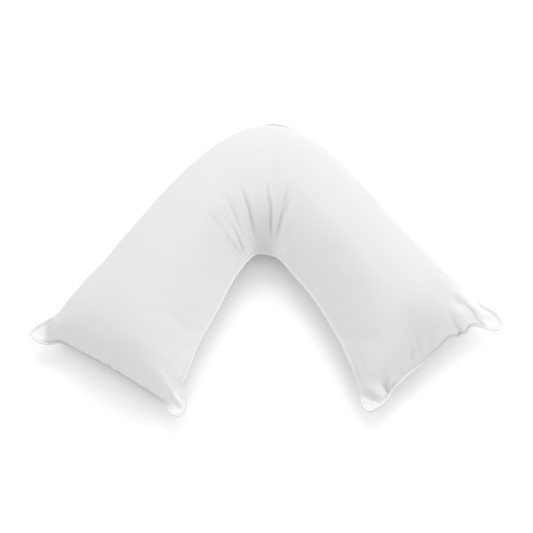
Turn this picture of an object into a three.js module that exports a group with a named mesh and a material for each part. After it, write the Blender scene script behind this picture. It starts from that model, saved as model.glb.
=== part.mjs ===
import * as THREE from 'three';

// A V shaped pillow lying on its back. Two cloth panels are sewn together all round and filled.
// The seam keeps a flat stitched lip, and the four corners stay empty and flatten into ears.
// Millimetres. X runs across the V, Y from its open side to its point, Z up from the surface.

const size = {
  seamHeight: 62, // the seam above the surface, along the arms
  lipWidth: 7, // cloth edge outside the seam stitching
  lipThickness: 2.6, // the folded edges of both panels
  backShoulder: -6, // the back panel's shoulder at the outer and end seams
  backInnerShoulder: -18, // the back panel's shoulder at the inner seam
  endRun: 165, // length over which an arm rises from its end seam to its full height
  endShape: 190, // length over which an end seam's own shape fades into the arm
  contact: 0.78, // share of the full depth at which the back panel meets the surface
  contactSoftness: 1.7, // how gently the back panel curls up from the surface
};

// The long seams, a row for each section from the left end to the right end.
// along: distance down the middle of the pillow; outer, inner: the seam's X, Y and its height
// above or below seamHeight; crest: height of the top panel above the seam; outerShoulder and
// innerShoulder: how far the filling pushes the top panel out over each seam, less than zero where
// the panel is drawn in; lipRise: how far the outer lip tips up.
const sections = [
  {
    along: 0, outer: [-515, -155, -18], inner: [-191, -338, -22],
    crest: 84, outerShoulder: 12, innerShoulder: -12, lipRise: 0,
  },
  {
    along: 9, outer: [-510, -145, -18], inner: [-185, -331, -22],
    crest: 84, outerShoulder: 12, innerShoulder: -12, lipRise: 0,
  },
  {
    along: 20, outer: [-496, -139, -15], inner: [-184, -322, -19],
    crest: 84, outerShoulder: 12, innerShoulder: -12, lipRise: 0,
  },
  {
    along: 55, outer: [-460, -114, -7], inner: [-191, -289, -10],
    crest: 85, outerShoulder: 13, innerShoulder: -18, lipRise: 0,
  },
  {
    along: 90, outer: [-434, -86, -3], inner: [-178, -265, -3],
    crest: 86, outerShoulder: 13, innerShoulder: -26, lipRise: 0,
  },
  {
    along: 190, outer: [-368, -3, 0], inner: [-148, -179, 0],
    crest: 88, outerShoulder: 13, innerShoulder: -32, lipRise: 0,
  },
  {
    along: 265, outer: [-327, 57, 0], inner: [-116, -115, 0],
    crest: 89, outerShoulder: 13, innerShoulder: -32, lipRise: 0,
  },
  {
    along: 340, outer: [-282, 118, 0], inner: [-84, -43, 0],
    crest: 90, outerShoulder: 13, innerShoulder: -32, lipRise: 0,
  },
  {
    along: 402, outer: [-238, 179, 0], inner: [-62, -4, 0],
    crest: 90, outerShoulder: 13, innerShoulder: -32, lipRise: 0,
  },
  {
    along: 486, outer: [-152, 280, 0], inner: [-41, 23, 2],
    crest: 87, outerShoulder: 13, innerShoulder: -28, lipRise: 0,
  },
  {
    along: 550, outer: [-62, 354, 0], inner: [-22, 37, 3],
    crest: 82, outerShoulder: 9, innerShoulder: -16, lipRise: 2,
  },
  {
    along: 613, outer: [30, 378, 0], inner: [6, 35, 3],
    crest: 77, outerShoulder: -2, innerShoulder: -14, lipRise: 6,
  },
  {
    along: 679, outer: [123, 316, 0], inner: [31, 24, 2],
    crest: 84, outerShoulder: 10, innerShoulder: -16, lipRise: 2,
  },
  {
    along: 764, outer: [214, 212, 0], inner: [62, -12, 0],
    crest: 90, outerShoulder: 13, innerShoulder: -22, lipRise: 0,
  },
  {
    along: 826, outer: [256, 154, 0], inner: [92, -50, 0],
    crest: 90, outerShoulder: 13, innerShoulder: -26, lipRise: 0,
  },
  {
    along: 889, outer: [299, 92, 0], inner: [121, -94, 0],
    crest: 89, outerShoulder: 13, innerShoulder: -26, lipRise: 0,
  },
  {
    along: 950, outer: [344, 39, 0], inner: [146, -141, 0],
    crest: 88, outerShoulder: 13, innerShoulder: -26, lipRise: 0,
  },
  {
    along: 1013, outer: [388, -14, 0], inner: [171, -192, 0],
    crest: 87, outerShoulder: 13, innerShoulder: -26, lipRise: 0,
  },
  {
    along: 1074, outer: [430, -57, -3], inner: [193, -248, -3],
    crest: 86, outerShoulder: 13, innerShoulder: -22, lipRise: 0,
  },
  {
    along: 1110, outer: [461, -79, -7], inner: [206, -289, -10],
    crest: 85, outerShoulder: 13, innerShoulder: -14, lipRise: 0,
  },
  {
    along: 1145, outer: [499, -105, -14], inner: [209, -316, -19],
    crest: 84, outerShoulder: 12, innerShoulder: -10, lipRise: 0,
  },
  {
    along: 1156, outer: [510, -116, -17], inner: [212, -323, -22],
    crest: 84, outerShoulder: 12, innerShoulder: -10, lipRise: 0,
  },
  {
    along: 1165, outer: [517, -130, -18], inner: [219, -328, -22],
    crest: 84, outerShoulder: 12, innerShoulder: -10, lipRise: 0,
  },
];

// The two end seams, from the outer ear to the inner ear, as shares of the arm's width, with the
// top panel's shoulder over them.
const leftEnd = [
  { across: 0, seam: [-515, -155, -18], shoulder: 8 },
  { across: 0.02, seam: [-509, -162, -18], shoulder: 8 },
  { across: 0.05, seam: [-497, -168, -18], shoulder: 10 },
  { across: 0.13, seam: [-466, -168, -20], shoulder: 20 },
  { across: 0.25, seam: [-429, -182, -19], shoulder: 20 },
  { across: 0.5, seam: [-337, -238, -17], shoulder: 18 },
  { across: 0.75, seam: [-248, -294, -19], shoulder: 18 },
  { across: 0.87, seam: [-214, -321, -21], shoulder: 14 },
  { across: 0.95, seam: [-205, -335, -21], shoulder: 8 },
  { across: 0.98, seam: [-198, -338, -22], shoulder: 6 },
  { across: 1, seam: [-191, -338, -22], shoulder: 6 },
];
const rightEnd = [
  { across: 0, seam: [517, -130, -18], shoulder: 6 },
  { across: 0.02, seam: [513, -136, -18], shoulder: 6 },
  { across: 0.05, seam: [502, -140, -18], shoulder: 8 },
  { across: 0.1, seam: [482, -139, -18], shoulder: 12 },
  { across: 0.15, seam: [462, -132, -14], shoulder: 16 },
  { across: 0.18, seam: [448, -135, -12], shoulder: 16 },
  { across: 0.22, seam: [437, -148, -19], shoulder: 16 },
  { across: 0.27, seam: [422, -153, -23], shoulder: 16 },
  { across: 0.31, seam: [404, -160, -15], shoulder: 14 },
  { across: 0.35, seam: [393, -168, -16], shoulder: 12 },
  { across: 0.5, seam: [354, -202, -19], shoulder: 8 },
  { across: 0.7, seam: [288, -263, -17], shoulder: 6 },
  { across: 0.84, seam: [263, -293, -20], shoulder: 8 },
  { across: 0.95, seam: [233, -323, -21], shoulder: 6 },
  { across: 0.98, seam: [226, -327, -22], shoulder: 6 },
  { across: 1, seam: [219, -328, -22], shoulder: 6 },
];

// The lip's width along the inner seam, narrow round the inside of the V.
const innerLip = [
  { along: 0, width: 7 },
  { along: 40, width: 6 },
  { along: 120, width: 5 },
  { along: 400, width: 4.5 },
  { along: 613, width: 4 },
  { along: 720, width: 5 },
  { along: 820, width: 6.5 },
  { along: 1165, width: 7 },
];

// The four corners. empty: distance from the tip within which there is no filling; full: distance
// from the tip at which the filling is full.
const ears = [
  { tip: sections[0].outer, empty: 22, full: 56 },
  { tip: sections[0].inner, empty: 16, full: 60 },
  { tip: sections.at(-1).outer, empty: 26, full: 76 },
  { tip: sections.at(-1).inner, empty: 18, full: 64 },
];

// How finely the panels are divided. The fan is the middle of the V, where the gathers are.
const fan = { from: 452, to: 712 };
const steps = { endRise: 14, arm: 12, fan: 42, across: 26 };

// Folds of the top panel. from, bend, to: three places in X and Y, starting nearest the seam;
// depth: how deep the fold is at its start, less than zero for a ridge; width: half its width.
const folds = [
  // Gathers that fan out from the inside of the V.
  { from: [-53, 21], bend: [-104, 65], to: [-135, 103], depth: 5, width: 8 },
  { from: [-46, 31], bend: [-62, 61], to: [-82, 90], depth: 4, width: 7 },
  { from: [-53, 57], bend: [-75, 103], to: [-96, 144], depth: 3, width: 9 },
  { from: [-24, 48], bend: [-42, 117], to: [-62, 170], depth: 7, width: 9 },
  { from: [7, 55], bend: [6, 138], to: [-6, 187], depth: 7, width: 9 },
  { from: [19, 43], bend: [35, 108], to: [46, 175], depth: 7, width: 9 },
  { from: [38, 106], bend: [44, 118], to: [53, 133], depth: 4, width: 7 },
  { from: [30, 37], bend: [42, 60], to: [53, 87], depth: 3, width: 8 },
  // Small puckers along the inner seams.
  { from: [-118, -109], bend: [-129, -104], to: [-140, -94], depth: 2, width: 6 },
  { from: [-116, -60], bend: [-129, -45], to: [-140, -31], depth: 2.5, width: 7 },
  { from: [114, -64], bend: [129, -47], to: [157, -38], depth: 2.5, width: 7 },
  // Puckers along the two end seams.
  { from: [-367, -221], bend: [-366, -212], to: [-368, -199], depth: 3, width: 7 },
  { from: [-341, -235], bend: [-341, -220], to: [-345, -207], depth: 3, width: 7 },
  { from: [-321, -246], bend: [-321, -231], to: [-325, -215], depth: 3, width: 7 },
  { from: [319, -227], bend: [315, -221], to: [312, -217], depth: 3.5, width: 6 },
  { from: [342, -207], bend: [325, -199], to: [315, -190], depth: 3.5, width: 6 },
  { from: [359, -190], bend: [350, -181], to: [342, -174], depth: 3, width: 6 },
  // Folds beside the right outer ear.
  { from: [476, -130], bend: [441, -116], to: [398, -101], depth: 5, width: 7 },
  { from: [465, -118], bend: [433, -106], to: [408, -99], depth: -2, width: 7 },
  { from: [419, -154], bend: [400, -147], to: [388, -135], depth: -3, width: 7 },
  // Folds beside the right inner ear.
  { from: [264, -295], bend: [257, -283], to: [250, -273], depth: 5, width: 8 },
  { from: [262, -289], bend: [251, -285], to: [241, -275], depth: -2, width: 7 },
  { from: [243, -307], bend: [225, -299], to: [207, -305], depth: 3, width: 8 },
  // Folds beside the left inner ear.
  { from: [-181, -320], bend: [-201, -302], to: [-212, -285], depth: -4, width: 7 },
  { from: [-181, -315], bend: [-183, -302], to: [-185, -288], depth: 4, width: 7 },
  { from: [-197, -321], bend: [-212, -307], to: [-221, -290], depth: 3.5, width: 8 },
];

// Smooth interpolation of the numbers in one named column, at a position in another column.
function readColumn(table, key, position, column) {
  const last = table.length - 1;
  let i = 0;
  while (i < last - 1 && position > table[i + 1][key]) {
    i += 1;
  }
  const at = (k) => table[THREE.MathUtils.clamp(k, 0, last)];
  const list = (row) => [row[column]].flat();
  const slope = (k) => {
    const before = at(k - 1);
    const after = at(k + 1);
    return list(after).map((value, n) => (value - list(before)[n]) / (after[key] - before[key]));
  };
  const span = at(i + 1)[key] - at(i)[key];
  const t = (position - at(i)[key]) / span;
  const start = list(at(i));
  const end = list(at(i + 1));
  const startSlope = slope(i);
  const endSlope = slope(i + 1);
  return start.map((value, n) => (
    value * (1 + 2 * t) * (1 - t) ** 2
    + end[n] * (3 - 2 * t) * t ** 2
    + startSlope[n] * span * t * (1 - t) ** 2
    - endSlope[n] * span * t ** 2 * (1 - t)
  ));
}

const pillowLength = sections.at(-1).along;

// A point of the seam sheet: the surface stretched between the four seams, before filling.
function seamSheet(along, across) {
  const outer = readColumn(sections, 'along', along, 'outer');
  const inner = readColumn(sections, 'along', along, 'inner');
  const point = new THREE.Vector3(...outer).lerp(new THREE.Vector3(...inner), across);
  const ends = [
    { rows: leftEnd, away: along },
    { rows: rightEnd, away: pillowLength - along },
  ];
  for (const { rows, away } of ends) {
    const hold = Math.max(0, 1 - away / size.endShape) ** 2;
    const drawn = new THREE.Vector3(...readColumn(rows, 'across', across, 'seam'));
    const straight = new THREE.Vector3(...rows[0].seam).lerp(new THREE.Vector3(...rows.at(-1).seam), across);
    point.addScaledVector(drawn.sub(straight), hold);
  }
  point.z += size.seamHeight;
  return point;
}

// Where the sections lie: close together in the fan and where an arm rises from its end seam.
function sectionPlaces() {
  const divide = (from, to, count) => (
    Array.from({ length: count }, (_, i) => THREE.MathUtils.lerp(from, to, i / count))
  );
  const rise = divide(0, Math.PI / 2, steps.endRise).map((turn) => size.endRun * (1 - Math.cos(turn)));
  return [
    ...rise,
    ...divide(size.endRun, fan.from, steps.arm),
    ...divide(fan.from, fan.to, steps.fan),
    ...divide(fan.to, pillowLength - size.endRun, steps.arm),
    pillowLength - size.endRun,
    ...rise.map((away) => pillowLength - away).reverse(),
  ];
}

// How much filling there is near the ears: none at the tips.
function earFill(point) {
  return ears.reduce((fill, { tip, empty, full }) => (
    fill * THREE.MathUtils.smoothstep(Math.hypot(point.x - tip[0], point.y - tip[1]), empty, full)
  ), 1);
}

// One point of a filled panel before its folds. side is 1 for the top panel, -1 for the back.
function filledPoint(along, angle, side) {
  const across = (1 - Math.cos(angle)) / 2;
  const point = seamSheet(along, across);
  const away = Math.min(along, pillowLength - along);
  const endAngle = Math.acos(1 - Math.min(away / size.endRun, 1));
  const corner = earFill(point);
  const fill = Math.sin(angle) * Math.sin(endAngle) * corner;

  // The filling pushes the panel outwards over each seam, or lets it be drawn in.
  const outwards = seamSheet(along, Math.max(across - 0.01, 0))
    .sub(seamSheet(along, Math.min(across + 0.01, 1)));
  const alongWay = seamSheet(Math.min(along + 1, pillowLength), across)
    .sub(seamSheet(Math.max(along - 1, 0), across));
  const endSign = along < pillowLength / 2 ? -1 : 1;
  const outerHalf = angle < Math.PI / 2;
  let [longShoulder] = readColumn(sections, 'along', along, outerHalf ? 'outerShoulder' : 'innerShoulder');
  let [endShoulder] = readColumn(endSign < 0 ? leftEnd : rightEnd, 'across', across, 'shoulder');
  if (side < 0) {
    longShoulder = outerHalf ? size.backShoulder : size.backInnerShoulder;
    endShoulder = size.backShoulder;
  }
  const longPush = longShoulder * Math.sin(2 * angle) * Math.sin(endAngle) * corner;
  const endPush = endSign * endShoulder * Math.sin(2 * endAngle) * Math.sin(angle) * corner;
  point.addScaledVector(outwards.setZ(0).normalize(), longPush);
  point.addScaledVector(alongWay.setZ(0).normalize(), endPush);

  const halfLip = size.lipThickness / 2;
  if (side > 0) {
    const [crest] = readColumn(sections, 'along', along, 'crest');
    point.z += halfLip + crest * fill;
  } else {
    const left = Math.max(0, 1 - fill / size.contact);
    point.z = (point.z - halfLip) * left ** size.contactSoftness;
  }
  return point;
}

// How deep the folds press the top panel at a point.
function foldDepth(point) {
  return folds.reduce((sum, fold) => {
    const start = new THREE.Vector2(...fold.from);
    const bend = new THREE.Vector2(...fold.bend);
    const end = new THREE.Vector2(...fold.to);
    let nearest = { distance: Infinity, share: 0 };
    [[start, bend, 0], [bend, end, 0.5]].forEach(([a, b, firstShare]) => {
      const line = b.clone().sub(a);
      const offset = new THREE.Vector2(point.x, point.y).sub(a);
      const t = THREE.MathUtils.clamp(offset.dot(line) / line.lengthSq(), 0, 1);
      const distance = offset.addScaledVector(line, -t).length();
      if (distance < nearest.distance) {
        nearest = { distance, share: firstShare + t / 2 };
      }
    });
    const width = THREE.MathUtils.lerp(fold.width, fold.width * 1.7, nearest.share);
    const strength = Math.cos(nearest.share * Math.PI / 2) ** 0.7;
    return sum + fold.depth * strength * Math.exp(-((nearest.distance / width) ** 2));
  }, 0);
}

// One point of a panel. The folds press into the top panel square to its surface.
function panelPoint(along, angle, side) {
  const point = filledPoint(along, angle, side);
  const nearSeam = Math.sin(angle);
  const depth = side > 0 ? foldDepth(point) : 0;
  if (Math.abs(depth) * nearSeam < 0.01) {
    return point;
  }
  const alongWay = filledPoint(Math.min(along + 1, pillowLength), angle, side)
    .sub(filledPoint(Math.max(along - 1, 0), angle, side));
  const acrossWay = filledPoint(along, angle + 0.01, side).sub(filledPoint(along, angle - 0.01, side));
  const square = acrossWay.cross(alongWay).normalize();
  return point.addScaledVector(square, -depth * Math.min(1, nearSeam * 4));
}

// The whole pillow as one closed mesh: top panel, back panel and the lip that joins them.
function pillowGeometry() {
  const places = sectionPlaces();
  const rows = places.length;
  const columns = steps.across + 1;
  const positions = [];
  const faces = [];
  const addPoint = (point) => positions.push(point.x, point.y, point.z) / 3 - 1;
  const addQuad = (a, b, c, d) => faces.push(a, b, c, a, c, d);

  const panels = {};
  for (const side of [1, -1]) {
    panels[side] = places.map((along) => {
      const line = [];
      for (let j = 0; j < columns; j += 1) {
        line.push(addPoint(panelPoint(along, (j / steps.across) * Math.PI, side)));
      }
      return line;
    });
    for (let i = 0; i < rows - 1; i += 1) {
      for (let j = 0; j < columns - 1; j += 1) {
        const here = panels[side][i];
        const next = panels[side][i + 1];
        const corners = [here[j], here[j + 1], next[j + 1], next[j]];
        addQuad(...(side > 0 ? corners : corners.reverse()));
      }
    }
  }

  // The seam as one loop of grid places.
  const loop = [];
  for (let i = 0; i < rows - 1; i += 1) loop.push([i, 0]);
  for (let j = 0; j < columns - 1; j += 1) loop.push([rows - 1, j]);
  for (let i = rows - 1; i > 0; i -= 1) loop.push([i, columns - 1]);
  for (let j = columns - 1; j > 0; j -= 1) loop.push([0, j]);

  const pointAt = (index) => new THREE.Vector3().fromArray(positions, index * 3);
  const count = loop.length;
  const lip = loop.map(([i, j], k) => {
    const [lipRise] = j === 0 ? readColumn(sections, 'along', places[i], 'lipRise') : [0];
    const [beforeI, beforeJ] = loop[(k + count - 1) % count];
    const [afterI, afterJ] = loop[(k + 1) % count];
    const run = pointAt(panels[1][afterI][afterJ]).sub(pointAt(panels[1][beforeI][beforeJ]));
    const onInnerSeam = j === columns - 1;
    const [width] = onInnerSeam ? readColumn(innerLip, 'along', places[i], 'width') : [size.lipWidth];
    const outward = new THREE.Vector3(-run.y, run.x, 0).setLength(width).setZ(lipRise);
    return {
      seamTop: panels[1][i][j],
      seamBack: panels[-1][i][j],
      edgeTop: addPoint(pointAt(panels[1][i][j]).add(outward)),
      edgeBack: addPoint(pointAt(panels[-1][i][j]).add(outward)),
    };
  });
  lip.forEach((here, k) => {
    const next = lip[(k + 1) % count];
    addQuad(here.seamTop, next.seamTop, next.edgeTop, here.edgeTop);
    addQuad(here.edgeTop, next.edgeTop, next.edgeBack, here.edgeBack);
    addQuad(here.edgeBack, next.edgeBack, next.seamBack, here.seamBack);
  });

  const geometry = new THREE.BufferGeometry();
  geometry.setAttribute('position', new THREE.Float32BufferAttribute(positions, 3));
  geometry.setIndex(faces);
  return geometry;
}

const geometry = pillowGeometry();
geometry.computeBoundingBox();
const middle = geometry.boundingBox.getCenter(new THREE.Vector3());
geometry.translate(-middle.x, -middle.y, 0);
geometry.computeVertexNormals();

const cloth = new THREE.MeshStandardMaterial({ color: 0xf4f4f2, roughness: 0.85, metalness: 0 });
const pillow = new THREE.Mesh(geometry, cloth);
pillow.name = 'pillow';

const group = new THREE.Group();
group.name = 'v_pillow';
group.add(pillow);

export default group;
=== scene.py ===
import math

import bpy
import numpy as np
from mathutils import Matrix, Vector, noise


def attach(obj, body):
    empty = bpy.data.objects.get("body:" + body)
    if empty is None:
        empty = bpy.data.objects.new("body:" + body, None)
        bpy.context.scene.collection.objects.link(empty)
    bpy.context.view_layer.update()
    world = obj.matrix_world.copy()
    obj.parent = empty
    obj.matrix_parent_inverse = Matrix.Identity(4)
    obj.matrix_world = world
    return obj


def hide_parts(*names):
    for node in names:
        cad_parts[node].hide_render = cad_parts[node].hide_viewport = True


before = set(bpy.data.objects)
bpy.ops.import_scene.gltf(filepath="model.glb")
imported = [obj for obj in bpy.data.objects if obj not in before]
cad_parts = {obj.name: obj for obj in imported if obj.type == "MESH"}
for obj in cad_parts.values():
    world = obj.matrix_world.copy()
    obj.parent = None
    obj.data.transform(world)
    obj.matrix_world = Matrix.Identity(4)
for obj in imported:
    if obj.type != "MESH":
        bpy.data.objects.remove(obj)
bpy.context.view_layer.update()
mm = 0.001


# The pillow's form, in millimetres.
pillow = {
    "seamHeight": 62,  # seam above the surface, along the arms
    "lipWidth": 7,  # flat cloth edge outside the stitching
    "lipThickness": 2.6,
    "backShoulder": -6,  # the back is drawn in all round, most round the inside of the V
    "backInnerShoulder": -18,
    "endRun": 165,  # length over which an arm rises from its end seam
    "endShape": 190,  # length over which an end seam's own line fades into the arm
    "fanFrom": 452, "fanTo": 712,  # stretch along the pillow that holds the gathers
    "contact": 0.78,  # share of the depth at which the back meets the surface
    "contactSoftness": 1.7,  # how gently the back curls up from the surface
}

# A row for each section: along, outer seam x y z, inner seam x y z, crest, outer shoulder, inner
# shoulder, lip rise. A shoulder is how far the top bulges out over its seam, less than zero where
# it is drawn in.
sections = np.array([
    (0, -517, -154, -18, -191, -342, -22, 84, 12, -12, 2),
    (9, -509, -146, -18, -184, -333, -22, 84, 12, -12, 4),
    (20, -496, -139, -15, -184, -322, -19, 84, 12, -12, 4),
    (55, -459, -115, -7, -190, -289, -10, 85, 13, -18, 0),
    (90, -435, -82, -3, -179, -265, -3, 86, 13, -26, 0),
    (190, -368, -3, 0, -148, -179, 0, 88, 13, -32, 0),
    (265, -327, 57, 0, -116, -115, 0, 89, 13, -32, 0),
    (340, -282, 118, 0, -84, -43, 0, 90, 13, -32, 0),
    (402, -238, 179, 0, -62, -4, 0, 90, 13, -32, 0),
    (486, -152, 280, 0, -41, 23, 2, 87, 13, -28, 0),
    (550, -62, 354, 0, -22, 37, 3, 82, 9, -10, 2),
    (613, 30, 378, 0, 6, 35, 3, 77, -2, -8, 6),
    (679, 123, 316, 0, 31, 24, 2, 84, 10, -20, 2),
    (764, 214, 212, 0, 62, -12, 0, 90, 13, -22, 0),
    (826, 256, 154, 0, 92, -50, 0, 90, 13, -26, 0),
    (889, 299, 92, 0, 121, -94, 0, 89, 13, -26, 0),
    (950, 344, 39, 0, 146, -141, 0, 88, 13, -26, 0),
    (1013, 388, -14, 0, 171, -192, 0, 87, 13, -26, 0),
    (1074, 430, -57, -3, 193, -248, -3, 86, 13, -22, 0),
    (1110, 461, -79, -7, 206, -289, -10, 85, 13, -14, 0),
    (1129, 480, -98, -11, 208, -304, -15, 85, 6, -12, 4),
    (1145, 499, -107, -14, 209, -316, -19, 84, 4, -10, 5),
    (1156, 511, -117, -17, 212, -323, -22, 84, 4, -10, 4),
    (1165, 519, -133, -18, 219, -331, -22, 84, 4, -10, 2),
], float)
sectionParts = {"outer": slice(0, 3), "inner": slice(3, 6), "crest": 6, "outerShoulder": 7,
                "innerShoulder": 8, "lipRise": 9}

# The end seams from the outer ear to the inner ear: share of the arm's width, x, y, z, shoulder.
leftEnd = np.array([
    (0, -517, -154, -18, 4),
    (0.02, -511, -162, -18, 4),
    (0.05, -500, -170, -18, 4),
    (0.09, -481, -174, -20, 8),
    (0.14, -464, -171, -20, 17),
    (0.19, -451, -172, -20, 19),
    (0.25, -430, -184, -19, 17),
    (0.31, -408, -197, -19, 13),
    (0.4, -374, -216, -18, 18),
    (0.5, -337, -238, -17, 18),
    (0.75, -248, -294, -19, 18),
    (0.87, -214, -321, -21, 14),
    (0.95, -205, -335, -21, 8),
    (0.98, -199, -340, -22, 6),
    (1, -191, -342, -22, 6),
], float)
rightEnd = np.array([
    (0, 519, -133, -18, 6),
    (0.02, 514, -139, -18, 6),
    (0.05, 503, -140, -18, 8),
    (0.08, 488, -138, -18, 10),
    (0.11, 478, -134, -18, 12),
    (0.15, 462, -132, -14, 16),
    (0.18, 448, -136, -12, 16),
    (0.22, 437, -148, -19, 15),
    (0.27, 422, -153, -23, 15),
    (0.31, 404, -160, -15, 15),
    (0.35, 393, -168, -16, 14),
    (0.4, 380, -182, -17, 10),
    (0.46, 366, -197, -18, 0),
    (0.5, 357, -206, -19, -8),
    (0.6, 323, -235, -18, -15),
    (0.7, 293, -261, -17, -16),
    (0.8, 271, -285, -19, -12),
    (0.84, 266, -294, -20, -10),
    (0.88, 258, -305, -20, -6),
    (0.92, 244, -319, -21, -2),
    (0.95, 233, -325, -21, 0),
    (0.98, 226, -330, -22, 2),
    (1, 219, -331, -22, 2),
], float)
endParts = {"seam": slice(0, 3), "shoulder": 3}

pillowLength = sections[-1, 0]

# Width of the lip, by the place along the inside of the V and by the share of the right end's width.
innerLip = np.array([(0, 7), (12, 9.5), (24, 11.5), (36, 12), (50, 8), (62, 6), (120, 5), (400, 4.5),
                     (613, 4), (720, 5), (820, 6.5), (1165, 7)], float)
rightLip = np.array([(0, 7), (0.35, 7), (0.5, 7.5), (0.6, 8), (0.75, 8), (0.9, 7.5), (1, 7)], float)

# The corners: the tip, how far from it the filling starts, how far from it the case is full and,
# where it isn't the same, how far the painted light of the single cloth reaches.
ears = [
    {"tip": sections[0, 1:3], "empty": 22, "full": 56, "light": 40},
    {"tip": sections[0, 4:6], "empty": 16, "full": 60, "light": 52},
    {"tip": sections[-1, 1:3], "empty": 26, "full": 76, "light": 160},
    {"tip": sections[-1, 4:6], "empty": 18, "full": 64, "light": 60},
]

# Half of the widest X and Y of the outline, which puts the origin in the middle.
centreShift = np.array([1.07, 20.65, 0.0])


# Smooth interpolation of a table's columns; its first column is the place.
def smoothRead(table, at):
    places, values = table[:, 0], table[:, 1:]
    at = np.asarray(at, float)
    i = np.clip(np.searchsorted(places, at, side="left") - 1, 0, len(places) - 2)
    before = np.clip(np.arange(len(places)) - 1, 0, None)
    after = np.clip(np.arange(len(places)) + 1, None, len(places) - 1)
    slopes = (values[after] - values[before]) / (places[after] - places[before])[:, None]
    span = (places[i + 1] - places[i])[..., None]
    t = (at - places[i])[..., None] / span
    return (values[i] * (1 + 2 * t) * (1 - t) ** 2 + values[i + 1] * (3 - 2 * t) * t ** 2
            + slopes[i] * span * t * (1 - t) ** 2 - slopes[i + 1] * span * t ** 2 * (1 - t))


# Unit vectors in plan.
def flat(vectors):
    plan = vectors.copy()
    plan[..., 2] = 0
    return plan / np.maximum(np.linalg.norm(plan, axis=-1, keepdims=True), 1e-9)


# The surface stretched between the seams, before filling.
def seamSheet(along, across):
    row = smoothRead(sections, along)
    outer, inner = row[..., sectionParts["outer"]], row[..., sectionParts["inner"]]
    share = across[..., None]
    point = outer + (inner - outer) * share
    for end, away in ((leftEnd, along), (rightEnd, pillowLength - along)):
        hold = (np.maximum(0, 1 - away / pillow["endShape"]) ** 2)[..., None]
        straight = end[0, 1:4] + (end[-1, 1:4] - end[0, 1:4]) * share
        point = point + (smoothRead(end, across)[..., endParts["seam"]] - straight) * hold
    point[..., 2] += pillow["seamHeight"]
    return point


# How full the case is near the ears, 0 to 1; reach names the distance at which it counts as full.
def earFill(point, reach="full"):
    fill = np.ones(point.shape[:-1])
    for ear in ears:
        away = np.linalg.norm(point[..., :2] - ear["tip"], axis=-1)
        full = ear.get(reach, ear["full"])
        t = np.clip((away - ear["empty"]) / (full - ear["empty"]), 0, 1)
        fill = fill * t * t * (3 - 2 * t)
    return fill


# A point of a filled panel; side is 1 for the top panel and -1 for the back.
def filledPoint(along, angle, side):
    across = (1 - np.cos(angle)) / 2
    point = seamSheet(along, across)
    away = np.minimum(along, pillowLength - along)
    endAngle = np.arccos(1 - np.minimum(away / pillow["endRun"], 1))
    corner = earFill(point)
    fill = np.sin(angle) * np.sin(endAngle) * corner
    aside = 0.01  # share of the width to each side that gives the direction across
    outwards = (seamSheet(along, np.maximum(across - aside, 0))
                - seamSheet(along, np.minimum(across + aside, 1)))
    alongWay = (seamSheet(np.minimum(along + 1, pillowLength), across)
                - seamSheet(np.maximum(along - 1, 0), across))
    endSign = np.where(along < pillowLength / 2, -1, 1)
    row = smoothRead(sections, along)
    crest = row[..., sectionParts["crest"]]
    longShoulder = np.where(angle < math.pi / 2, row[..., sectionParts["outerShoulder"]],
                            row[..., sectionParts["innerShoulder"]])
    endShoulder = np.where(along < pillowLength / 2,
                           smoothRead(leftEnd, across)[..., endParts["shoulder"]],
                           smoothRead(rightEnd, across)[..., endParts["shoulder"]])
    if side < 0:
        endShoulder = pillow["backShoulder"]
        longShoulder = np.where(angle < math.pi / 2, endShoulder, pillow["backInnerShoulder"])
    longPush = longShoulder * np.sin(2 * angle) * np.sin(endAngle) * corner
    endPush = endSign * endShoulder * np.sin(2 * endAngle) * np.sin(angle) * corner
    point = point + flat(outwards) * longPush[..., None] + flat(alongWay) * endPush[..., None]
    halfLip = pillow["lipThickness"] / 2
    if side > 0:
        point[..., 2] += halfLip + crest * fill
    else:
        left = np.maximum(0, 1 - fill / pillow["contact"])
        point[..., 2] = (point[..., 2] - halfLip) * left ** pillow["contactSoftness"]
    return point


# Where the sections lie, closest in the fan of gathers and where the arms rise.
def sectionPlaces(endRise, arm, fan):
    run, fanFrom, fanTo = pillow["endRun"], pillow["fanFrom"], pillow["fanTo"]
    rise = run * (1 - np.cos(np.linspace(0, math.pi / 2, endRise, endpoint=False)))
    return np.concatenate([
        rise,
        np.linspace(run, fanFrom, arm, endpoint=False),
        np.linspace(fanFrom, fanTo, fan, endpoint=False),
        np.linspace(fanTo, pillowLength - run, arm, endpoint=False),
        [pillowLength - run],
        (pillowLength - rise)[::-1],
    ])


def panelGrid(places, angles, side):
    along, angle = np.meshgrid(places, angles, indexing="ij")
    return filledPoint(along, angle, side)


# The seam's grid places in order, clockwise from above.
def seamLoop(rows, columns):
    return ([(i, 0) for i in range(rows - 1)]
            + [(rows - 1, j) for j in range(columns - 1)]
            + [(i, columns - 1) for i in range(rows - 1, 0, -1)]
            + [(0, j) for j in range(columns - 1, 0, -1)])


def panelQuads(rows, columns, first, side):
    index = first + np.arange(rows * columns).reshape(rows, columns)
    quads = np.stack([index[:-1, :-1], index[:-1, 1:], index[1:, 1:], index[1:, :-1]], -1).reshape(-1, 4)
    return quads if side > 0 else quads[:, ::-1]


# Faces of the plain back panel: every second row and column, with all the points of the seam.
def backFaces(rows, columns, first):
    faces = []
    for i in range(0, rows - 1, 2):
        for j in range(0, columns - 1, 2):
            corners = [(i, j), (i, j + 1), (i, j + 2), (i + 1, j + 2), (i + 2, j + 2), (i + 2, j + 1),
                       (i + 2, j), (i + 1, j)]
            kept = [(a, b) for a, b in corners
                    if (a % 2 == 0 and b % 2 == 0) or a in (0, rows - 1) or b in (0, columns - 1)]
            faces.append([first + a * columns + b for a, b in reversed(kept)])
    return faces


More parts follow.
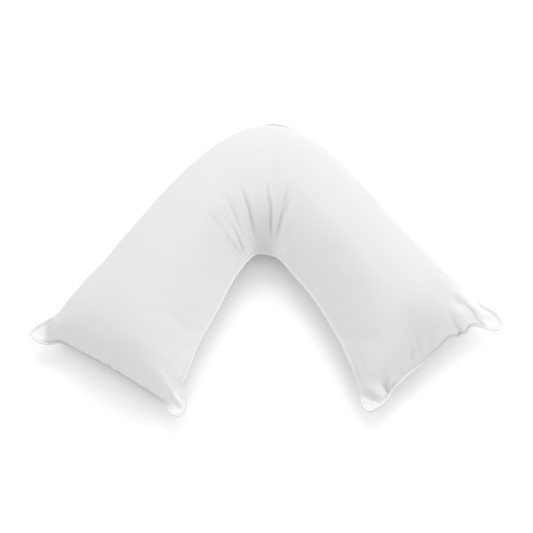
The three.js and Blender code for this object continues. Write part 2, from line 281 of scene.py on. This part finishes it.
def makeMesh(name, points, faces):
    mesh = bpy.data.meshes.new(name)
    mesh.from_pydata((points * mm).tolist(), [], faces)
    mesh.update()
    piece = bpy.data.objects.new(name, mesh)
    bpy.context.scene.collection.objects.link(piece)
    return piece


# The filling swells the case.
swell = {
    "endRise": 18, "arm": 34, "fan": 52, "across": 48,  # divisions of the simulated case
    "pressure": 4.0,
    "spareCloth": 0.035,  # how much longer the cloth is than its seams
    "frames": 20,
    "most": 7,  # furthest that a point may move, mm
    "quality": 6,
    "mass": 0.25,
    "stretch": 20, "shear": 8, "bending": 1.2,  # stiffness of the cloth
    "damping": 10, "airDamping": 4,
    "hold": 20,  # stiffness of the held points
    "lying": 0.5,  # height below which the back lies on the surface and is held, mm
}


# How far the cloth of both panels moves when the filling presses on it.
def swollenOffsets():
    places = sectionPlaces(swell["endRise"], swell["arm"], swell["fan"])
    angles = np.linspace(0, math.pi, swell["across"] + 1)
    rows, columns = len(places), len(angles)
    top, back = panelGrid(places, angles, 1), panelGrid(places, angles, -1)
    count = rows * columns
    start = np.concatenate([top.reshape(-1, 3), back.reshape(-1, 3)])
    loop = seamLoop(rows, columns)
    ring = np.array([i * columns + j for i, j in loop])
    following = np.roll(ring, -1)
    strip = np.stack([ring, following, following + count, ring + count], -1)
    quads = np.concatenate([panelQuads(rows, columns, 0, 1), panelQuads(rows, columns, count, -1), strip])
    case = makeMesh("swellingCase", start, quads.tolist())
    held = set(ring.tolist()) | set((ring + count).tolist())
    held |= set((count + np.nonzero(back.reshape(-1, 3)[:, 2] < swell["lying"])[0]).tolist())
    group = case.vertex_groups.new(name="held")
    group.add(sorted(held), 1.0, "REPLACE")
    cloth = case.modifiers.new("cloth", "CLOTH")
    settings = cloth.settings
    settings.quality = swell["quality"]
    settings.mass = swell["mass"]
    settings.tension_stiffness = settings.compression_stiffness = swell["stretch"]
    settings.shear_stiffness = swell["shear"]
    settings.bending_stiffness = swell["bending"]
    settings.tension_damping = settings.compression_damping = settings.shear_damping = swell["damping"]
    settings.air_damping = swell["airDamping"]
    settings.shrink_min = -swell["spareCloth"]
    settings.use_pressure = True
    settings.uniform_pressure_force = swell["pressure"]
    settings.vertex_group_mass = "held"
    settings.pin_stiffness = swell["hold"]
    settings.effector_weights.gravity = 0
    cloth.collision_settings.use_collision = False
    scene = bpy.context.scene
    scene.frame_start, scene.frame_end = 1, swell["frames"]
    cloth.point_cache.frame_start, cloth.point_cache.frame_end = 1, swell["frames"]
    for number in range(1, swell["frames"] + 1):
        scene.frame_set(number)
    shape = case.evaluated_get(bpy.context.evaluated_depsgraph_get()).to_mesh()
    moved = np.empty(len(shape.vertices) * 3)
    shape.vertices.foreach_get("co", moved)
    moved = moved.reshape(-1, 3) / mm
    scene.frame_set(1)
    bpy.data.objects.remove(case)
    offset = moved - start
    length = np.linalg.norm(offset, axis=1, keepdims=True)
    most = swell["most"]
    offset = offset * (most * np.tanh(length / most) / np.maximum(length, 1e-9))
    print("swollen case: moves up to", round(float(length.max()), 1), "mm, median",
          round(float(np.median(length)), 2), "mm")
    topOffset, backOffset = (part.reshape(rows, columns, 3) for part in (offset[:count], offset[count:]))
    return places, angles, topOffset, backOffset


# Smooth reading of a grid of vectors on a finer grid.
def readGrid(places, angles, values, newPlaces, newAngles):
    rows, columns = len(places), len(angles)
    half = smoothRead(np.column_stack([places, values.reshape(rows, -1)]), newPlaces)
    half = half.reshape(len(newPlaces), columns, 3).transpose(1, 0, 2).reshape(columns, -1)
    whole = smoothRead(np.column_stack([angles, half]), newAngles)
    return whole.reshape(len(newAngles), len(newPlaces), 3).transpose(1, 0, 2)


# Folds of the top panel.
# from, bend and to are places in X and Y starting nearest the seam; depth is how deep the fold is,
# less than zero for a ridge; peak is the share of its length at which it is deepest; width is half
# its width, and slope makes the side that lean names, 1 for the right of its line, that much wider.
# light is how much painted light a fold adds, less than zero where it takes painted light away, and
# shade is painted shade on the gathered cloth inside the V.
foldShape = {
    "spread": 0.5,  # how much wider a fold gets towards its far end
    "point": 1.6,  # a low power makes a sharp line, a high one a flat bed
    "fading": 0.7,
    "bank": 0.16,  # cloth that stands up beside a fold, share of its depth
    "bankAway": 2.4, "bankWidth": 1.3,  # in half widths of the fold
}
gathers = [
    {"from": (-52, 18), "bend": (-104, 66), "to": (-135, 101), "depth": 4.5, "width": 2.1, "peak": 0.2},
    {"from": (-45, 22), "bend": (-61, 51), "to": (-81, 81), "depth": 4.5, "width": 2.1, "peak": 0.25},
    {"from": (-53, 57), "bend": (-75, 103), "to": (-96, 144), "depth": 3, "width": 2.8},
    {"from": (-24, 46), "bend": (-42, 117), "to": (-62, 170), "depth": 7, "width": 2.1, "lean": 1,
     "slope": 1.7},
    {"from": (9, 50), "bend": (9, 118), "to": (-4, 187), "depth": 5.6, "width": 2, "peak": 0.28},
    {"from": (18, 40), "bend": (35, 108), "to": (46, 175), "depth": 7, "width": 2.1, "lean": 1,
     "slope": 1.7},
    {"from": (38, 106), "bend": (44, 118), "to": (53, 133), "depth": 3.5, "width": 2.4},
    {"from": (30, 37), "bend": (42, 60), "to": (53, 87), "depth": 3, "width": 3.5},
    {"from": (-58, 11), "bend": (-77, 24), "to": (-92, 41), "depth": 2.2, "width": 3, "peak": 0.15},
]
for gather in gathers:
    gather.setdefault("peak", 0.35)
    gather["point"] = 1.25
# Painted shade on the gathered cloth at the inside of the V.
gatheredPaintedShade = [
    {"from": (-5, 36), "bend": (-3, 85), "to": (-6, 152), "width": 25, "point": 3, "shade": 0.27},
]
puckers = [
    {"from": (-118, -109), "bend": (-129, -104), "to": (-140, -94), "depth": 2, "width": 5},
    {"from": (-116, -60), "bend": (-129, -45), "to": (-140, -31), "depth": 2.5, "width": 6},
    {"from": (114, -64), "bend": (129, -47), "to": (157, -38), "depth": 2.5, "width": 6},
    {"from": (-367, -221), "bend": (-366, -212), "to": (-368, -199), "depth": 3, "width": 5},
    {"from": (-341, -235), "bend": (-341, -220), "to": (-345, -207), "depth": 3, "width": 5},
    {"from": (-321, -246), "bend": (-321, -231), "to": (-325, -215), "depth": 3, "width": 5},
    {"from": (318, -226), "bend": (319, -214), "to": (314, -204), "depth": 6, "width": 3.4, "point": 1.3},
    {"from": (341, -210), "bend": (331, -196), "to": (319, -183), "depth": 6, "width": 3.4, "point": 1.3},
    {"from": (364, -196), "bend": (354, -184), "to": (344, -173), "depth": 4, "width": 3.4, "point": 1.3},
    {"from": (299, -256), "bend": (290, -250), "to": (285, -241), "depth": 4, "width": 3.4, "point": 1.3},
]
# The ears' folds also paint light: lighter on ridges, and less light in valleys and bands.
earFolds = [
    # Right outer ear.
    {"from": (481, -136), "bend": (450, -117), "to": (406, -100), "depth": 3, "width": 4.2, "point": 2.5,
     "light": -0.9},
    {"from": (474, -133), "bend": (455, -125), "to": (424, -112), "depth": -2.5, "width": 2.4, "light": 0.3},
    {"from": (500, -121), "bend": (466, -100), "to": (425, -78), "width": 11, "point": 3, "light": 0.6},
    {"from": (468, -135), "bend": (442, -126), "to": (395, -116), "width": 8, "point": 2.5, "light": 0.9},
    {"from": (422, -153), "bend": (406, -150), "to": (386, -146), "depth": -3.5, "width": 2, "light": 0.5},
    {"from": (428, -152), "bend": (413, -145), "to": (395, -134), "depth": 3.5, "width": 4, "light": -0.5},
    # Right inner ear.
    {"from": (264, -297), "bend": (257, -283), "to": (254, -258), "depth": 9, "width": 3.2, "spread": 2.4,
     "point": 3, "light": -1},
    {"from": (258, -299), "bend": (247, -287), "to": (241, -271), "depth": -2.5, "width": 2, "light": 0.3},
    {"from": (252, -300), "bend": (243, -292), "to": (235, -283), "depth": -1.5, "width": 6, "point": 3,
     "light": 0.6},
    {"from": (268, -287), "bend": (273, -281), "to": (280, -274), "depth": 5.5, "width": 2.2, "light": -0.8},
    {"from": (250, -316), "bend": (223, -303), "to": (192, -293), "depth": 3.5, "width": 6.5, "point": 3,
     "peak": 0.45, "light": -1.2},
    {"from": (228, -322), "bend": (221, -320), "to": (212, -320), "depth": 1, "width": 3, "light": -0.6},
    # Left inner ear.
    {"from": (-183, -323), "bend": (-196, -309), "to": (-209, -288), "depth": -4.5, "width": 2.3,
     "light": 0.6},
    {"from": (-188, -327), "bend": (-201, -317), "to": (-210, -300), "depth": 4, "width": 6, "point": 2.5,
     "light": -0.9},
    {"from": (-201, -333), "bend": (-201, -320), "to": (-199, -308), "depth": -1.5, "width": 1.6,
     "light": 0.5},
    {"from": (-208, -330), "bend": (-215, -319), "to": (-224, -306), "depth": 2, "width": 4, "light": -0.8},
    {"from": (-190, -286), "bend": (-186, -277), "to": (-181, -267), "depth": 3.5, "width": 2},
    {"from": (-186, -313), "bend": (-187, -306), "to": (-190, -297), "depth": 3, "width": 1.8,
     "light": -0.7},
    # Left outer ear.
    {"from": (-472, -141), "bend": (-488, -144), "to": (-502, -153), "depth": -2, "width": 1.9,
     "light": 0.5},
    {"from": (-489, -160), "bend": (-490, -150), "to": (-490, -140), "depth": 2, "width": 3.5},
]


# How deep the folds press the panel at each point, or how much painted light or shade they give it.
def foldDepth(points, folds, what="depth"):
    plan = points[..., :2]
    total = np.zeros(plan.shape[:-1])
    for fold in folds:
        places = [np.array(fold[key], float) for key in ("from", "bend", "to")]
        away = np.full(total.shape, 1e9)
        share = np.zeros(total.shape)
        side = np.zeros(total.shape)
        for n in range(2):
            line = places[n + 1] - places[n]
            offset = plan - places[n]
            t = np.clip((offset @ line) / (line @ line), 0, 1)
            distance = np.linalg.norm(offset - t[..., None] * line, axis=-1)
            nearer = distance < away
            away = np.where(nearer, distance, away)
            share = np.where(nearer, (n + t) / 2, share)
            side = np.where(nearer, offset[..., 0] * line[1] - offset[..., 1] * line[0], side)
        leaning = side * fold.get("lean", 0) > 0
        width = fold["width"] * (1 + fold.get("spread", foldShape["spread"]) * share)
        width = width * np.where(leaning, fold.get("slope", 1), 1)
        peak = fold.get("peak", 0)
        rising = np.sin(math.pi / 2 * np.minimum(share / max(peak, 1e-6), 1))
        falling = np.cos(math.pi / 2 * np.clip((share - peak) / (1 - peak), 0, 1)) ** foldShape["fading"]
        strength = rising * falling if peak else falling
        trough = np.exp(-(away / width) ** fold.get("point", foldShape["point"]))
        banks = np.exp(-((away - foldShape["bankAway"] * width) / (foldShape["bankWidth"] * width)) ** 2)
        total += fold.get(what, 0) * strength * (trough - foldShape["bank"] * banks)
    return total


# Unit vectors out of a grid surface, up for the top panel.
def squareTo(grid):
    alongWay = np.gradient(grid, axis=0)
    acrossWay = np.gradient(grid, axis=1)
    out = np.cross(acrossWay, alongWay)
    return out / np.maximum(np.linalg.norm(out, axis=-1, keepdims=True), 1e-9)


# The finished case.
case = {
    "endRise": 66, "arm": 40, "fan": 200, "edge": 60, "middle": 30,  # divisions of the finished case
    "edgeTurn": 1.15,  # part of the half turn from seam to seam that the edge divisions take, radians
    "looseFront": 0.3, "looseBack": 0.1,  # share of the swelling that shows
    "looseFrom": 1.5, "looseOver": 0.9,  # where it grows from back to front, radians from the outer seam
    "looseEnd": 130,  # and how far from an end, mm
    "lumps": 1.1,  # unevenness of the filling, mm
    "lumpSize": 70,
    "lumpSeed": 3.1,
    "calmSeam": 3, "calmEnd": 25,  # how fast the unevenness grows from a seam, and from an end, mm
    "foldRise": 4,  # how fast the folds grow from a seam
}
lip = {
    "round": 3,  # steps round its edge
    "stitching": 0.12,  # share of its width
    "stitchDip": 0.4,  # how deep the stitching draws it in, mm
    "flat": [(0.3, 0.92), (0.6, 1), (0.86, 0.98)],  # share of its width, share of its half thickness
    "curl": 1.5,  # its rise grows with this power of the width
    "underFrom": 0.5, "underBelow": 0.8,  # where its painted underside shade starts: share of width, half thickness
}


def lumps(grid, depth, spacing, seed):
    shape = grid.shape[:2]
    values = [noise.noise(Vector((p[0] / spacing, p[1] / spacing, p[2] / spacing + seed)))
              for p in grid.reshape(-1, 3)]
    return depth * np.array(values).reshape(shape)


# Painted light on the lip, 0 as the filled cloth and 1 as single cloth: places along each seam.
lipPaintedLight = {
    "outside": [(0, 0.7), (30, 0.5), (60, 0), (1100, 0), (1125, 0.5), (1165, 0.7)],
    "inside": [(0, 0.8), (60, 0.45), (600, 0.5), (680, 0), (1060, -0.25), (1110, 0), (1140, 0.4),
               (1165, 0.8)],
    "leftEnd": [(0, 1), (0.06, 0.9), (0.1, 0.6), (0.15, 0.3), (0.2, 0.15), (0.5, 0.5), (0.9, 0.6), (1, 1)],
    "rightEnd": [(0, 1), (0.06, 1), (0.09, 0.15), (0.2, 0.1), (0.4, 0.1), (0.52, 0.5), (0.65, 1), (1, 1)],
}
# The power with which that painted light grows over the lip's width: a high one keeps it to the edge.
edgeOnly = {"outside": 0.2, "inside": 1.6, "leftEnd": 2.5, "rightEnd": 0.5}

# Painted light along the inner seam: how light, and how far from the seam in mm, by the place along.
seamPaintedLight = {
    "light": [(0, 0.55), (480, 0.55), (560, 0.45), (680, 0.42), (800, 0.4), (900, 0.32), (1060, 0.3),
              (1110, 0.05)],
    "reach": [(480, 55), (560, 32), (620, 32), (680, 55), (800, 55), (950, 28)],
    "limits": (-1, 1.2),  # of what the ears and their folds may add up to
}


# The seam that a place of the lip belongs to, and where on it the place is.
def seamOfLip(place, angle, atOuter, atInner):
    if atOuter or atInner:
        return ("inside" if atInner else "outside"), place
    across = (1 - math.cos(angle)) / 2
    return ("leftEnd" if place < pillowLength / 2 else "rightEnd"), across


# How much of the swelling shows: most near the inside of the V and the ends, little at the back.
def looseness(places, angles):
    inner = np.clip((angles - case["looseFrom"]) / case["looseOver"], 0, 1)[None, :]
    away = np.minimum(places, pillowLength - places)[:, None]
    end = np.clip(1 - away / case["looseEnd"], 0, 1)
    return case["looseBack"] + (case["looseFront"] - case["looseBack"]) * np.maximum(inner, end)


def lipWidthAt(place, angle, atRightEnd, atInner):
    if atInner:
        return smoothRead(innerLip, place)[0]
    if atRightEnd:
        return np.interp((1 - math.cos(angle)) / 2, rightLip[:, 0], rightLip[:, 1])
    return pillow["lipWidth"]


# The lip's section from the top panel round its edge to the back panel: share of width, height.
def lipProfile():
    half = pillow["lipThickness"] / 2
    upper = [(lip["stitching"], half - lip["stitchDip"])]
    upper += [(share, half * part) for share, part in lip["flat"]]
    turn = np.linspace(0, math.pi, 2 * lip["round"] + 1)[1:-1]
    edge = [(1 - (1 - math.sin(a)) * half / pillow["lipWidth"], half * math.cos(a)) for a in turn]
    return upper + edge + [(share, -height) for share, height in reversed(upper)]


# Both panels with their swelling, unevenness and folds.
def finishedPanels(places, angles):
    top, back = panelGrid(places, angles, 1), panelGrid(places, angles, -1)
    simPlaces, simAngles, topOffset, backOffset = swollenOffsets()
    loose = looseness(places, angles)[..., None]
    top = top + readGrid(simPlaces, simAngles, topOffset, places, angles) * loose
    back = back + readGrid(simPlaces, simAngles, backOffset, places, angles) * loose
    back[..., 2] = np.maximum(back[..., 2], 0)
    away = np.minimum(places, pillowLength - places)
    calm = np.minimum(1, case["calmSeam"] * np.sin(angles))[None, :] * np.ones((len(places), 1))
    calm = calm * np.minimum(1, away / case["calmEnd"])[:, None]
    uneven = lumps(top, case["lumps"], case["lumpSize"], case["lumpSeed"]) * calm
    top = top + squareTo(top) * uneven[..., None]
    rising = np.minimum(1, case["foldRise"] * np.sin(angles))[None, :]
    depth = foldDepth(top, gathers + puckers + earFolds) * rising
    return top - squareTo(top) * depth[..., None], back


# Painted light: the ears and the lip are coloured lighter than the filled panels, for light through
# the single cloth, and so is the cloth along the inner seam; the ear folds add or take away painted light.
def paintPanelLight(places, top):
    light = np.clip(1 - earFill(top, "light") + foldDepth(top, earFolds, "light"), *seamPaintedLight["limits"])
    toSeam = np.linalg.norm(top - top[:, -1:], axis=-1)
    strength, reach = (np.interp(places, *zip(*seamPaintedLight[key]))[:, None] for key in ("light", "reach"))
    return light + strength * np.exp(-toSeam / reach)


def makeCase():
    places = sectionPlaces(case["endRise"], case["arm"], case["fan"])
    turn = case["edgeTurn"]
    angles = np.concatenate([np.linspace(0, turn, case["edge"], endpoint=False),
                             np.linspace(turn, math.pi - turn, case["middle"], endpoint=False),
                             np.linspace(math.pi - turn, math.pi, case["edge"] + 1)])
    rows, columns = len(places), len(angles)
    top, back = finishedPanels(places, angles)
    count = rows * columns
    loop = seamLoop(rows, columns)
    ring = np.array([i * columns + j for i, j in loop])
    points = [top.reshape(-1, 3), back.reshape(-1, 3)]
    faces = panelQuads(rows, columns, 0, 1).tolist() + backFaces(rows, columns, count)

    # Painted light and painted shade of every point: the panels first, then each ring of the lip.
    panelPaintedLight = paintPanelLight(places, top).ravel()
    paintedLightness = [panelPaintedLight, panelPaintedLight]
    # Painted shade: the gathered cloth inside the V, none on the back panel.
    shade = [np.clip(foldDepth(top, gatheredPaintedShade, "shade"), 0, 1).ravel(), np.zeros(count)]
    ringPaintedLight = panelPaintedLight[ring]
    edgePaintedLight, edgePower = np.zeros(len(ring)), np.zeros(len(ring))
    for n, (i, j) in enumerate(loop):
        side, at = seamOfLip(places[i], angles[j], j == 0, j == columns - 1)
        edgePaintedLight[n] = np.interp(at, *zip(*lipPaintedLight[side]))
        edgePower[n] = edgeOnly[side]

    # The lip: out from the top panel, round the folded edge, back in to the back panel.
    seamTop, seamBack = points[0][ring], points[1][ring]
    run = np.roll(seamTop, -1, axis=0) - np.roll(seamTop, 1, axis=0)
    outward = flat(np.column_stack([-run[:, 1], run[:, 0], np.zeros(len(ring))]))
    rise = np.array([smoothRead(sections, places[i])[sectionParts["lipRise"]] if j == 0 else 0.0
                     for i, j in loop])
    width = np.array([[lipWidthAt(places[i], angles[j], i == rows - 1, j == columns - 1)]
                      for i, j in loop], float)
    middle = (seamTop + seamBack) / 2
    underside = pillow["lipThickness"] / 2 * lip["underBelow"]
    previous = ring
    first = 2 * count
    for share, height in lipProfile():
        lift = rise * share ** lip["curl"]
        part = share ** edgePower
        # The lip's painted light, and painted shade on its underside where it has painted light.
        paintedLightness.append(edgePaintedLight * part + ringPaintedLight * (1 - part))
        shade.append(edgePaintedLight * float(height < underside and share > lip["underFrom"]))
        line = middle + outward * (width * share) + np.column_stack(
            [np.zeros(len(ring)), np.zeros(len(ring)), height + lift])
        points.append(line)
        here = first + np.arange(len(ring))
        faces += np.stack([previous, np.roll(previous, -1), np.roll(here, -1), here], -1).tolist()
        previous = here
        first += len(ring)
    last = ring + count
    faces += np.stack([previous, np.roll(previous, -1), np.roll(last, -1), last], -1).tolist()

    used = np.unique(np.concatenate(faces))
    place = np.zeros(first, int)
    place[used] = np.arange(len(used))
    faces = [place[face].tolist() for face in faces]
    piece = makeMesh("filled_case", np.concatenate(points)[used] - centreShift, faces)
    for name, values in (("painted_light", paintedLightness), ("shade", shade)):
        attribute = piece.data.attributes.new(name, "FLOAT", "POINT")
        attribute.data.foreach_set("value", np.concatenate(values)[used].astype(np.float32))
    piece.data.polygons.foreach_set("use_smooth", [True] * len(piece.data.polygons))
    print("case:", sum(len(face) - 2 for face in faces), "triangles")
    return piece


# A socket that takes part in Python arithmetic.
class Value:
    def __init__(self, shader, socket):
        self.shader, self.socket = shader, socket

    def math(self, operation, other, swap=False):
        first, second = (other, self) if swap else (self, other)
        return self.shader.node("ShaderNodeMath", {"operation": operation}, {0: first, 1: second})

    def __add__(self, other):
        return self.math("ADD", other)

    def __mul__(self, other):
        return self.math("MULTIPLY", other)

    def __sub__(self, other):
        return self.math("SUBTRACT", other)

    def __rsub__(self, other):
        return self.math("SUBTRACT", other, swap=True)

    __radd__, __rmul__ = __add__, __mul__


# A material's node tree.
class Shader:
    def __init__(self, name):
        self.material = bpy.data.materials.new(name)
        self.material.use_nodes = True
        self.tree = self.material.node_tree
        self.surface = self.tree.nodes["Principled BSDF"]

    def node(self, kind, settings=None, inputs=None, output=0):
        made = self.tree.nodes.new(kind)
        for name, value in (settings or {}).items():
            setattr(made, name, value)
        for name, value in (inputs or {}).items():
            self.connect(made.inputs[name], value)
        return Value(self, made.outputs[output])

    def connect(self, socket, value):
        if isinstance(value, Value):
            self.tree.links.new(value.socket, socket)
        else:
            socket.default_value = value

    def mix(self, factor, first, second):
        return self.node("ShaderNodeMix", {"data_type": "RGBA"}, {0: factor, 6: first, 7: second}, output=2)


cotton = {
    "colour": (0.668, 0.668, 0.668, 1),
    "shade": (0.65, 0.65, 0.65, 1),  # where the cloth is a little greyer
    "paintedLight": (0.805, 0.805, 0.805, 1),  # painted light: where the cloth has no filling behind it, along the inner seam and on fold ridges
    "shaded": (0.28, 0.28, 0.28, 1),  # painted shade on the lip's underside and, in part, on the gathered cloth inside the V
    "roughness": 0.88,
    "roughnessRange": 0.08,
    "sheen": 0.12,
    "sheenRoughness": 0.5,
    "specular": 0.25,
    "weaveScale": 196.35,  # 12.5 threads to the centimetre, two to a wave
    "weaveTurn": 3,  # degrees
    "weaveWobble": 0.6,
    "threadDepth": 0.00012,
    "slubScale": 140.0,
    "slubDepth": 0.0004,
    "patchScale": 9.0,
    "bump": 0.35,
}


def threads(shader, place, direction):
    return shader.node("ShaderNodeTexWave", {"wave_type": "BANDS", "bands_direction": direction},
                       {"Vector": place, "Scale": cotton["weaveScale"],
                        "Distortion": cotton["weaveWobble"], "Detail": 1.0}, output="Fac")


def cottonMaterial():
    shader = Shader("white_cotton")
    place = shader.node("ShaderNodeTexCoord", output="Object")
    turned = shader.node("ShaderNodeMapping", {},
                         {"Vector": place, "Rotation": (0, 0, math.radians(cotton["weaveTurn"]))})
    weave = (threads(shader, turned, "X") + threads(shader, turned, "Y")) * 0.5
    slub = shader.node("ShaderNodeTexNoise", {}, {"Vector": place, "Scale": cotton["slubScale"],
                                                  "Detail": 3.0, "Roughness": 0.6})
    patches = shader.node("ShaderNodeTexNoise", {}, {"Vector": place, "Scale": cotton["patchScale"],
                                                     "Detail": 2.0})
    fine = shader.node("ShaderNodeBump", {}, {"Strength": cotton["bump"],
                                              "Distance": cotton["threadDepth"], "Height": weave})
    bump = shader.node("ShaderNodeBump", {}, {"Strength": cotton["bump"], "Distance": cotton["slubDepth"],
                                              "Height": slub, "Normal": fine})
    # Painted light and painted shade from the mesh's attributes, mixed into the colour.
    paintedLight = shader.node("ShaderNodeAttribute", {"attribute_name": "painted_light"}, output="Fac")
    shaded = shader.node("ShaderNodeAttribute", {"attribute_name": "shade"}, output="Fac")
    colour = shader.mix(patches, cotton["colour"], cotton["shade"])
    colour = shader.mix(paintedLight, colour, cotton["paintedLight"])
    colour = shader.mix(shaded, colour, cotton["shaded"])
    surface = shader.surface
    shader.connect(surface.inputs["Base Color"], colour)
    shader.connect(surface.inputs["Roughness"],
                   cotton["roughness"] + (slub - 0.5) * cotton["roughnessRange"])
    shader.connect(surface.inputs["Normal"], bump)
    surface.inputs["Sheen Weight"].default_value = cotton["sheen"]
    surface.inputs["Sheen Roughness"].default_value = cotton["sheenRoughness"]
    surface.inputs["Specular IOR Level"].default_value = cotton["specular"]
    return shader.material


# Build.
filledCase = makeCase()
filledCase.data.materials.append(cottonMaterial())
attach(filledCase, "root")
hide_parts("pillow")
print("pillow built")

# Floor, light and camera.
studio = {
    "floorSize": 30.0,
    "floorColour": (0.97, 0.97, 0.97, 1),
    "floorDrop": 0.0004,  # keeps the floor clear of the pillow's back
    "sky": 0.945,
    "boxSize": 2.8,  # width of a soft box
    "aim": (0, 0, 0.05),
    "backBox": (0.0, 2.6, 3.0), "backPower": 46,
    "sideBox": (2.2, 2.6, 1.6), "sidePower": 18.5,
    "frontBox": (2.2, -1.8, 3.0), "frontPower": 11.5,
}


def areaLight(name, place, size, power):
    data = bpy.data.lights.new(name, "AREA")
    data.shape, data.size, data.energy = "DISK", size, power
    light = bpy.data.objects.new(name, data)
    light.location = place
    light.rotation_euler = (Vector(studio["aim"]) - Vector(place)).to_track_quat("-Z", "Y").to_euler()
    bpy.context.scene.collection.objects.link(light)


def makeStudio():
    half = studio["floorSize"] / 2
    mesh = bpy.data.meshes.new("floor")
    corners = [(-half, -half, 0), (half, -half, 0), (half, half, 0), (-half, half, 0)]
    mesh.from_pydata(corners, [], [(0, 1, 2, 3)])
    floor = bpy.data.objects.new("floor", mesh)
    floor.location.z = -studio["floorDrop"]
    bpy.context.scene.collection.objects.link(floor)
    shader = Shader("white_floor")
    shader.surface.inputs["Base Color"].default_value = studio["floorColour"]
    shader.surface.inputs["Roughness"].default_value = 1.0
    shader.surface.inputs["Specular IOR Level"].default_value = 0.0
    mesh.materials.append(shader.material)
    world = bpy.data.worlds.new("studio")
    world.use_nodes = True
    background = world.node_tree.nodes["Background"]
    background.inputs["Color"].default_value = (1, 1, 1, 1)
    background.inputs["Strength"].default_value = studio["sky"]
    bpy.context.scene.world = world
    for side in ("back", "side", "front"):
        areaLight(side + "Box", studio[side + "Box"], studio["boxSize"], studio[side + "Power"])


view = {
    "elevation": 62,  # degrees above the surface
    "distance": 3.0,
    "target": (-0.00107, -0.02065, 0.07),
    "metresToPixel": 0.00225,  # at the target
    "imageWidth": 533,
    "sensorWidth": 36,
}


def makeCamera():
    data = bpy.data.cameras.new("camera")
    data.sensor_fit, data.sensor_width = "HORIZONTAL", view["sensorWidth"]
    data.lens = view["sensorWidth"] * view["distance"] / (view["metresToPixel"] * view["imageWidth"])
    camera = bpy.data.objects.new("camera", data)
    rise = math.radians(view["elevation"])
    away = Vector((0, -math.cos(rise), math.sin(rise)))
    camera.location = Vector(view["target"]) + view["distance"] * away
    camera.rotation_euler = (math.pi / 2 - rise, 0, 0)
    bpy.context.scene.collection.objects.link(camera)
    bpy.context.scene.camera = camera


makeStudio()
makeCamera()
bpy.context.scene.view_settings.view_transform = "Standard"
print("studio and camera set")
